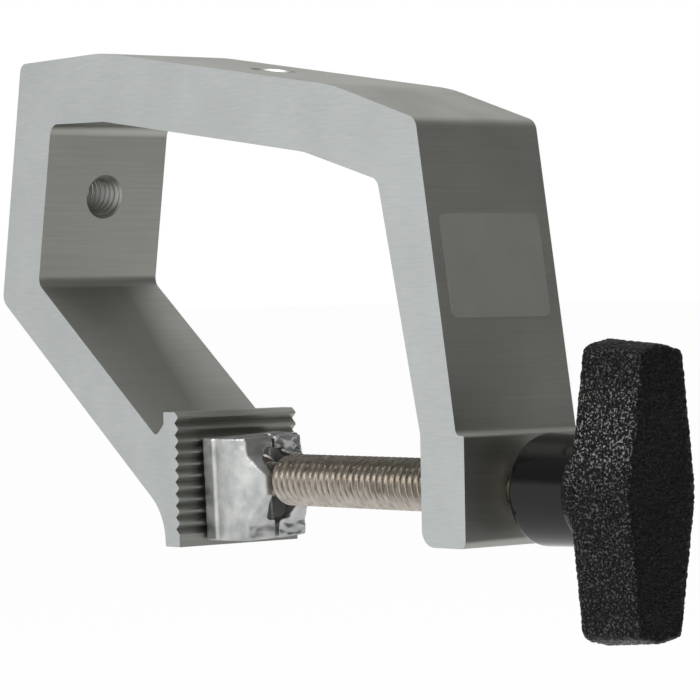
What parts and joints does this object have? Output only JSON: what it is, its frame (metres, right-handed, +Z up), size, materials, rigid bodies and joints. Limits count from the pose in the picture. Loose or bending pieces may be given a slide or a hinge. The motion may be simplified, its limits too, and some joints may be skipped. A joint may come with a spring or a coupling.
{
  "type": "gunwale c-clamp",
  "caption": "Extruded aluminium c-clamp that hooks over a boat's gunwale, with a serrated jaw, a swivel pad on a long screw, and a tee knob.",
  "frame": {"origin": "on the clamp screw's axis, in the plane of the jaw's tooth tips, halfway along the extrusion", "axes": "+X from the fixed jaw out along the screw to the knob, +Y along the extrusion, +Z up to the top bar"},
  "size_m": [0.1644, 0.0286, 0.1061],
  "materials": {
    "frame_aluminium": "mill finish, sawn ends",
    "stainless_screw": "rolled thread, dull",
    "pad_aluminium": "mill finish, crushed lips",
    "black_plastic": "leather grain handle, glossy hub",
    "clear_film": "clear sticker"
  },
  "bodies": {
    "clamp_frame": {"frame": "frame_aluminium", "sticker": "clear_film"},
    "pad": {"swivel_pad": "pad_aluminium"},
    "screw": {"clamp_screw": "stainless_screw", "knob": "black_plastic"}
  },
  "joints": [
    {"name": "screw_feed", "type": "slide", "parent": "clamp_frame", "child": "pad", "axis": [1, 0, 0], "range_m": [-0.00045, 0.0517]},
    {"name": "screw_turn", "type": "hinge", "parent": "pad", "child": "screw", "pos_m": [0, 0, 0], "axis": [1, 0, 0], "range_deg": [-103, 11725]}
  ],
  "couplings": [
    {"joint": "screw_turn", "follows": "screw_feed", "rad_per_m": 3957.9}
  ]
}
